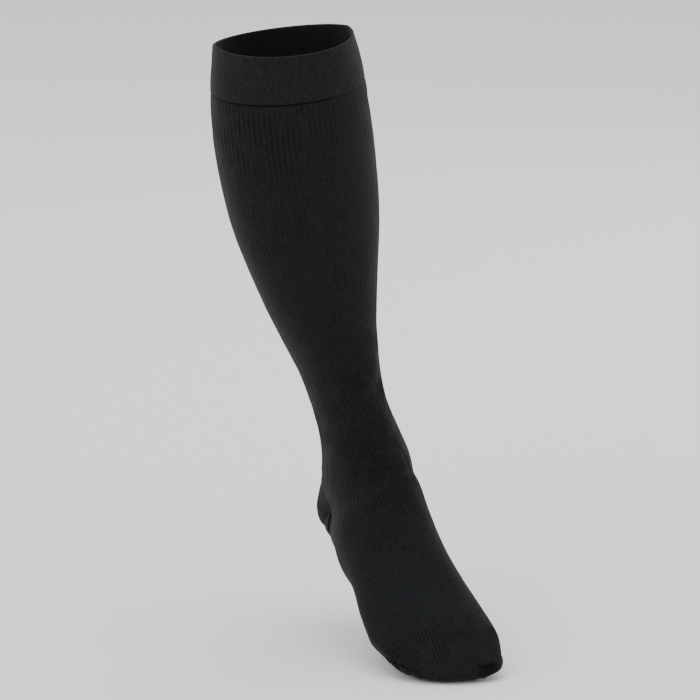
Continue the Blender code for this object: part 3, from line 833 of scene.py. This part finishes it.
def make_tube(material):
    """Leg and foot in one ribbed tube, with a hole for the heel pocket and an open end for the toe pocket."""
    base = BAND_HEIGHT + np.array(FOLD_ROWS)
    leg_rows = np.linspace(base[-1], ANKLE_DOWN, LEG_ROWS)[1:-1]
    leg_downs = np.concatenate([base, leg_rows, [ANKLE_DOWN - EDGE_ROW, ANKLE_DOWN]])
    foot_rows = np.linspace(ANKLE_DOWN, TOE_DOWN, FOOT_ROWS)[1:-1]
    foot_ends = np.array([0.0, EDGE_ROW])
    foot_downs = np.concatenate([ANKLE_DOWN + foot_ends, foot_rows, TOE_DOWN - foot_ends[::-1]])
    downs = np.concatenate([leg_downs, foot_downs[1:]])
    last_leg = len(leg_downs) - 1
    shares = rib_shares()
    sole_shares = np.linspace(0.0, 1.0, SOLE_STEPS + 1)

    cloth = Cloth()
    flow = laid_shares(downs, shares)
    front = cloth.add_points(soften_bend(front_half(downs, flow), downs, flow))
    leg = cloth.add_back(back_half(leg_downs, leg_downs, shares), front[:last_leg + 1])
    sole_points = back_half(foot_downs, foot_downs + HEEL_END - HEEL_START, sole_shares)
    sole = cloth.add_back(sole_points, front[last_leg:])

    # Values at the points: ribs across, distance down, and how far the ribs rise there.
    ribs, down_at, strength = np.zeros((3, len(cloth.points)))
    patches = (
        (front, RIBS_HALF * shares, downs),
        (leg, RIBS_HALF * (1 + shares), leg_downs),
        (sole, RIBS_HALF * (1 + sole_shares), foot_downs),
    )
    for ids, ribs_across, rows in patches:
        cloth.add_patch(ids, ribs_across, rows)
    for ids, ribs_across, rows in reversed(patches):  # the front comes last, and so numbers the side points
        ribs[ids] = ribs_across
        down_at[ids] = rows[:, None]
    parting, parted = SOLE_START
    on_foot = smooth_step(ANKLE_DOWN + parting, ANKLE_DOWN + parted, downs)[:, None]
    strength[leg] = 1.0
    strength[front] = 1 - on_foot * (1 - smooth_step(*SOLE_FADE, np.minimum(flow, 1 - flow)))
    strength *= rib_patches(cloth.points, down_at, ribs)
    reach, loss = RIB_END
    strength *= 1 - loss * smooth_step(TOE_DOWN - reach, TOE_DOWN, down_at)

    below = down_at - BAND_HEIGHT
    depth = fold_depth(turns_at(ribs / RIBS_HALF))
    fold = depth * np.exp(-(below / FOLD_WIDTH) ** 2)
    fall = FALL_SHARE * depth * (1 - smooth_step(0.0, FALL_REACH, below))
    creases = crease_move(cloth.points, TUBE_CREASES, tube_point)
    rib, shade = rib_move(ribs, down_at, strength)
    move = rib * smooth_step(*RIB_START, below) + wave_move(cloth.points) + creases - fold - fall
    move -= BAND_UNDER_SINK * (1 - smooth_step(FOLD_ROWS[0], 0.0, below))
    edge = np.zeros(len(cloth.points), bool)
    edge[np.concatenate([leg[-1], sole[0], front[-1], sole[-1]])] = True
    move[edge] -= EDGE_SINK

    normals = cloth.normals()
    wall = np.where(edge, KNIT_WALL - EDGE_SINK, KNIT_WALL)[:, None]
    outer = cloth.points + normals * move[:, None]
    # Marks: how much painted shade the rib grooves take, and painted shade in the troughs of creases and of
    # the band's fold.
    marks = {"rib": shade, "hollow": np.clip((fold - creases) / FULL_SHADE_DEPTH, 0.0, 1.0)}
    return make_shell("leg_and_foot_knit", cloth, outer, outer - normals * wall, marks, material)


def band_section():
    """The band's closed section, as (distance down, depth in the wall), from its lower edge up and over."""
    base = BAND_HEIGHT - BASE_GAP
    outside_end, rim_end, inside_end = FACE_ENDS
    outside_rows, rim_rows, inside_rows = BAND_ROWS
    radius = BAND_WALL / 2
    outside = [(base - height, depth) for height, depth in OUTER_EDGE]
    outside += [(down, 0.0) for down in np.linspace(base - outside_end, rim_end, outside_rows)]
    angles = np.linspace(0.0, math.pi, rim_rows)
    rim = [(radius * (1 - math.sin(a)), radius * (1 - math.cos(a))) for a in angles]
    inside = [(down, BAND_WALL) for down in np.linspace(rim_end, base - inside_end, inside_rows)]
    inside += [(base - height, BAND_WALL - depth) for height, depth in INNER_EDGE]
    return np.array(outside + rim + inside)


def round_rows(downs, shares):
    """Whole rounds of the leg, from the inner side over the front."""
    return np.concatenate([front_half(downs, shares), back_half(downs, downs, shares)[:, 1:-1]], axis=1)


def make_band(material):
    """The top band, a welt: its cloth goes up, over the rim and down inside as one closed round."""
    section = band_section()
    downs = section[:, 0]
    shares = np.linspace(0.0, 1.0, BAND_ROUND + 1)
    rows = round_rows(downs, shares)
    count = rows.shape[1]
    turns = turns_at(np.arange(count) / BAND_ROUND)

    upper = np.maximum(downs - BAND_STEP, 0.0)
    run = np.roll(rows, -1, axis=1) - np.roll(rows, 1, axis=1)
    normals = np.cross(run, round_rows(upper + BAND_STEP, shares) - round_rows(upper, shares))
    normals /= np.linalg.norm(normals, axis=2)[:, :, None]

    places = rows.reshape(-1, 3)
    move = crease_move(places, BAND_CREASES, tube_point) + wave_move(places)
    move = move.reshape(rows.shape[:2]) * smooth_step(0.0, RIM_TRUE, downs)[:, None]
    near_base = smooth_step(BAND_HEIGHT - FALL_REACH, BAND_HEIGHT, downs)[:, None]
    move -= near_base * FALL_SHARE * fold_depth(turns) + section[:, 1:]

    cloth = Cloth()
    ids = cloth.add_points(rows + normals * move[:, :, None])
    ids = np.pad(ids, ((0, 1), (0, 1)), mode="wrap")[::-1]
    lengths = np.cumsum([0.0, *step_lengths(section), BASE_TURN])[::-1]
    cloth.add_patch(ids, np.linspace(0.0, RIBS_ROUND, count + 1), lengths)
    maps = {"knit": cloth.knit, "OFBake": BAKE_MARGIN + cloth.unit_places() * (1 - 2 * BAKE_MARGIN)}
    return make_piece("band_knit", cloth.points, cloth.faces, maps, {}, material)


def gore_move(points, line):
    """The gore's narrow trough along its line, with a row of threads lying in it, and where they are."""
    length = step_lengths(line).sum()
    distance, along = nearest_on_line(points, line)
    fade = plateau(GORE_ENDS, along)
    trough = GORE_DEPTH * np.exp(-(distance / GORE_WIDTH) ** 2) * fade
    stitch = smooth_step(*GORE_LOOP, np.abs(np.sin(math.pi * along * length / GORE_STITCH)))
    share, proud = GORE_THREAD
    thread = np.exp(-(distance / (share * GORE_WIDTH)) ** 2) * stitch * fade
    return proud * thread - trough, GORE_PALE * thread


def seam_move(shares, distance, length):
    """The toe seam's low ridge, prouder at the little toe's end, and the threads that show in it."""
    place, width, height = SEAM_RIDGE
    over_toes, more = SEAM_HEIGHTS
    ends = smooth_step(*SEAM_PROUD, shares)
    ridge = np.exp(-((distance - place) / width) ** 2) * plateau(SEAM_ENDS, shares)
    ridge *= over_toes + more * ends
    stitch = 0.5 + 0.5 * np.sin(2 * math.pi * shares * length / SEAM_STITCH)
    between, on_stitch = SEAM_LOOP
    pale_from, pale_full, pale = SEAM_PALE
    thread = pale * ends * ridge * smooth_step(pale_from, pale_full, stitch)
    return height * ridge * (between + on_stitch * stitch), thread


def make_pocket(name, rows_at, start, end, size, creases, material, seam=False):
    """A pocket is a wedge of half rings, tucked a little under the tube's edges."""
    def point_at(turned, share):
        """Shares across are counted from the inner side, against the way that the rows run."""
        return rows_at(np.array([start + turned * (end - start)]), [1.0 - share])[0, 0]

    rows, columns = size
    tucks = np.array([TUCK / 2, TUCK])
    alongs = np.concatenate([start - tucks[::-1], np.linspace(start, end, rows), end + tucks])
    shares = np.linspace(0.0, 1.0, columns + 1)
    grid = rows_at(alongs, shares)
    first = grid[len(tucks)]
    last = grid[-len(tucks) - 1]

    cloth = Cloth()
    ids = np.pad(cloth.add_points(grid[:, 1:-1]), ((0, 0), (1, 1)))
    ids[:, [0, -1]] = cloth.add_points(first[[0, -1]])
    cloth.add_patch(ids, RIBS_HALF * (1 + shares), alongs)
    points = cloth.points

    # Values at the points: share across, distance from the last edge, and from the nearer one.
    share_at, to_last, inside = np.zeros((3, len(points)))
    share_at[ids] = shares
    to_last[ids] = np.linalg.norm(grid - last, axis=2)
    from_edge = np.minimum(np.linalg.norm(grid - first, axis=2), to_last[ids])
    from_edge[:len(tucks)] *= -1
    from_edge[-len(tucks):] *= -1
    inside[ids] = from_edge
    at_edge, under = TUCK_SINK
    sink = at_edge * (1 - smooth_step(0.0, TUCK_RISE, inside)) + under * np.maximum(-inside, 0.0)

    crease = crease_move(points, creases, point_at)
    move = crease + wave_move(points)
    thread = np.zeros(len(points))
    reach = np.linspace(0.0, GORE_REACH, CREASE_STEPS + 1)
    for gore in (reach, 1 - reach):
        trough, stitches = gore_move(points, np.array([point_at(0.5, share) for share in gore]))
        move += trough
        thread += stitches
    if seam:
        ridge, stitches = seam_move(share_at, to_last, step_lengths(last).sum())
        move += ridge
        thread += stitches
    normals = cloth.normals()
    outer = points + normals * (move - sink)[:, None]
    # Marks: the pale threads of gores and seam, and painted shade in the creases' troughs.
    marks = {"thread": np.clip(thread, 0.0, 1.0), "hollow": np.clip(-crease / FULL_SHADE_DEPTH, 0.0, 1.0)}
    return make_shell(name, cloth, outer, outer - normals * POCKET_WALL, marks, material)


# ---- materials

def linear(hex_colour):
    """An sRGB hex colour as linear red, green, blue and alpha."""
    parts = [int(hex_colour[i:i + 2], 16) / 255 for i in (1, 3, 5)]
    return (*[p / 12.92 if p <= 0.04045 else ((p + 0.055) / 1.055) ** 2.4 for p in parts], 1.0)


def add_node(tree, kind, feeds, **settings):
    """Add a node with its settings, and feed its inputs: a value, a socket, or a node's first output."""
    made = tree.nodes.new("ShaderNode" + kind)
    for name, value in settings.items():
        setattr(made, name, value)
    for key, value in feeds.items():
        if isinstance(value, bpy.types.Node):
            value = value.outputs[0]
        if isinstance(value, bpy.types.NodeSocket):
            tree.links.new(value, made.inputs[key])
        else:
            made.inputs[key].default_value = value
    return made


def knit_material(name, yarn, lint, groove_shade, course_lines, sheen):
    """Nylon and elastane knit: a dull dark cloth whose fine fuzz catches a pale light where it turns away."""
    material = bpy.data.materials.new(name)
    material.use_nodes = True
    tree = material.node_tree
    shader = tree.nodes["Principled BSDF"]
    shader.inputs["Roughness"].default_value = 0.88
    shader.inputs["Specular IOR Level"].default_value = 0.13
    shader.inputs["Sheen Weight"].default_value = sheen
    shader.inputs["Sheen Roughness"].default_value = 0.42
    shader.inputs["Sheen Tint"].default_value = linear("#c9cbc8")

    # The knit's own map: ribs across and mm down.  Two wales to a rib, one up and one down.
    knit = add_node(tree, "UVMap", {}, uv_map="knit")
    parts = add_node(tree, "SeparateXYZ", {0: knit.outputs["UV"]})
    wales = add_node(tree, "Math", {0: parts.outputs["X"], 1: 2.0, 2: 0.5}, operation="MULTIPLY_ADD")
    courses = add_node(tree, "Math", {0: parts.outputs["Y"], 1: COURSE}, operation="DIVIDE")
    away = {}  # how far from the middle, where 0.5 is the edge
    for part, source in (("wale", wales), ("rib", parts.outputs["X"])):
        place = add_node(tree, "Math", {0: source}, operation="FRACT")
        centred = add_node(tree, "Math", {0: place, 1: 0.5}, operation="SUBTRACT")
        away[part] = add_node(tree, "Math", {0: centred}, operation="ABSOLUTE")

    # Loops lean to each side of a wale.  Lines are straight courses, which show on the plain band.
    slant = add_node(tree, "Math", {0: away["wale"], 1: -LOOP_LEAN, 2: courses}, operation="MULTIPLY_ADD")
    rows = {}
    for row, source in (("loop", slant), ("line", courses)):
        angle = add_node(tree, "Math", {0: source, 1: math.pi}, operation="MULTIPLY")
        wave = add_node(tree, "Math", {0: angle}, operation="SINE")
        rows[row] = add_node(tree, "Math", {0: wave}, operation="ABSOLUTE")
    arm = add_node(tree, "MapRange", {"Value": away["wale"], "From Min": 0.5, "From Max": 0.25},
                   interpolation_type="SMOOTHSTEP")
    stitch = add_node(tree, "Math", {0: rows["loop"], 1: arm}, operation="MULTIPLY")

    space = add_node(tree, "TexCoord", {}).outputs["Object"]
    patterns = {}
    for pattern, (size, detail, roughness) in YARN_NOISES.items():
        feeds = {"Vector": space, "Scale": 1 / (size * MM), "Detail": detail, "Roughness": roughness}
        patterns[pattern] = add_node(tree, "TexNoise", feeds).outputs["Fac"]
    height = add_node(tree, "Math", {0: patterns["fuzz"], 1: FUZZ_HEIGHT, 2: stitch},
                      operation="MULTIPLY_ADD")
    lined = add_node(tree, "Math", {0: rows["line"], 1: course_lines, 2: height}, operation="MULTIPLY_ADD")
    bump = add_node(tree, "Bump", {"Height": lined, "Strength": 0.5, "Distance": STITCH_HEIGHT * MM})

    # The colour's tone: painted shade in rib grooves and between loops, mottling, broad uneven tones, and
    # painted shade in creases.
    # The rib grooves take a painted shade, partly the knit lying more open there.
    rib = add_node(tree, "Attribute", {}, attribute_name="rib")
    groove = add_node(tree, "MapRange", {"Value": away["rib"], "From Min": 0.22, "From Max": 0.5,
                                         "To Max": groove_shade}, interpolation_type="SMOOTHSTEP")
    cut = add_node(tree, "Math", {0: groove, 1: rib.outputs["Fac"]}, operation="MULTIPLY")
    lit = add_node(tree, "Math", {0: 1.0, 1: cut}, operation="SUBTRACT")
    # Painted shade in the gaps between loops.
    between, more = STITCH_TONE
    gap_shade = add_node(tree, "Math", {0: stitch, 1: more, 2: between}, operation="MULTIPLY_ADD")
    tone = add_node(tree, "Math", {0: lit, 1: gap_shade}, operation="MULTIPLY")
    # Painted shade in the troughs of creases and folds, from the mark on the points.
    patterns["hollow"] = add_node(tree, "Attribute", {}, attribute_name="hollow").outputs["Fac"]
    for pattern, (low, high, at_low, at_high) in YARN_TONES.items():
        feeds = {"Value": patterns[pattern], "From Min": low, "From Max": high}
        shade = add_node(tree, "MapRange", {**feeds, "To Min": at_low, "To Max": at_high})
        tone = add_node(tree, "Math", {0: tone, 1: shade}, operation="MULTIPLY")
    base = add_node(tree, "VectorMath", {0: linear(yarn)[:3], "Scale": tone}, operation="SCALE")

    # Specks of lint 0.6 mm across, in some of the cells, and the pale threads of gores and seam.
    cells = add_node(tree, "TexVoronoi", {"Vector": space, "Scale": 1 / (LINT_CELL * MM)})
    near = add_node(tree, "Math", {0: cells.outputs["Distance"], 1: LINT_RADIUS}, operation="LESS_THAN")
    chosen = add_node(tree, "Math", {0: cells.outputs["Color"], 1: LINT_CHOSEN}, operation="LESS_THAN")
    speck = add_node(tree, "Math", {0: near, 1: chosen}, operation="MULTIPLY")
    thread = add_node(tree, "Attribute", {}, attribute_name="thread")
    pale = add_node(tree, "Math", {0: speck, 1: thread.outputs["Fac"]}, operation="MAXIMUM")
    share = add_node(tree, "Math", {0: pale, 1: lint}, operation="MULTIPLY")
    colour = add_node(tree, "Mix", {"Factor": share, 6: base, 7: linear("#7d8080")}, data_type="RGBA")
    tree.links.new(colour.outputs[2], shader.inputs["Base Color"])
    tree.links.new(bump.outputs[0], shader.inputs["Normal"])
    return material


def floor_material():
    """Matt white painted board."""
    material = bpy.data.materials.new("matt_white_board")
    material.use_nodes = True
    shader = material.node_tree.nodes["Principled BSDF"]
    shader.inputs["Base Color"].default_value = linear("#f4f4f3")
    shader.inputs["Roughness"].default_value = 0.9
    shader.inputs["Specular IOR Level"].default_value = 0.1
    return material


# ---- floor, light and camera

CAMERA_PLACE = (0.0506, -2.4932, 0.2948)
CAMERA_TILT = 78.0
CAMERA_LENS = 171.64
SENSOR = 36.0
FLOOR_GAP = 0.4 * MM
FLOOR_SIZE = 20.0
WORLD_COLOUR = "#fbfcff"
WORLD_STRENGTH = 1.05
LIGHT_AIM = (0.06, -0.02, -0.24)
LIGHTS = (  # name, place, what it faces, size, power
    ("key", (-1.1, -1.7, 1.3), LIGHT_AIM, 1.2, 11),
    ("back_light", (1.3, 1.9, 0.9), LIGHT_AIM, 1.4, 8),
    ("floor_light", (0.0, 0.6, 3.0), (0.0, 0.9, -0.46), 3.0, 60),
)


def make_stage():
    """A plain floor just under the toes."""
    floor_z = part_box("toe_pocket")[0][2] - FLOOR_GAP
    bpy.ops.mesh.primitive_plane_add(size=FLOOR_SIZE, location=(0.0, 0.0, floor_z))
    floor = bpy.context.object
    floor.name = "floor"
    floor.data.materials.append(floor_material())


def add_light(name, place, aim, size, power):
    """A soft square area light that faces a point."""
    light = bpy.data.lights.new(name, "AREA")
    light.size = size
    light.energy = power
    lamp = bpy.data.objects.new(name, light)
    lamp.location = place
    lamp.rotation_euler = (Vector(aim) - Vector(place)).to_track_quat("-Z", "Y").to_euler()
    bpy.context.scene.collection.objects.link(lamp)


def light_stage():
    """An even pale surround, a soft key from the left, one behind, and one over the floor."""
    world = bpy.data.worlds.new("studio")
    world.use_nodes = True
    background = world.node_tree.nodes["Background"]
    background.inputs["Color"].default_value = linear(WORLD_COLOUR)
    background.inputs["Strength"].default_value = WORLD_STRENGTH
    bpy.context.scene.world = world
    for light in LIGHTS:
        add_light(*light)


def add_camera():
    """A long lens from a little above, level from side to side."""
    data = bpy.data.cameras.new("camera")
    data.lens = CAMERA_LENS
    data.sensor_width = SENSOR
    camera = bpy.data.objects.new("camera", data)
    camera.location = CAMERA_PLACE
    camera.rotation_euler = (math.radians(CAMERA_TILT), 0.0, 0.0)
    bpy.context.scene.collection.objects.link(camera)
    bpy.context.scene.camera = camera


# ---- make

add_camera()
light_stage()
make_stage()

# The tube takes a painted shade in the grooves between its ribs, partly the knit lying more open there; the
# pockets are plain and closer, and the welt's courses show as fine lines across.
ribbed = knit_material("ribbed_nylon_knit", "#141618", 0.09, 0.62, 0.0, 0.11)
plain = knit_material("plain_nylon_knit", "#151718", 0.12, 0.0, 0.0, 0.08)
welt = knit_material("doubled_nylon_welt", "#17191a", 0.13, 0.0, 0.9, 0.11)

band = make_band(welt)
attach(band, "root")
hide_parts("top_band")

tube = make_tube(ribbed)
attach(tube, "root")
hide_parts("leg", "foot")

heel = make_pocket("heel_knit", heel_rows, HEEL_START, HEEL_END, HEEL_SIZE, HEEL_CREASES, plain)
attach(heel, "root")
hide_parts("heel_pocket")

toe = make_pocket("toe_knit", toe_rows, TOE_START, TOE_END, TOE_SIZE, TOE_CREASES, plain, seam=True)
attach(toe, "root")
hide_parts("toe_pocket")
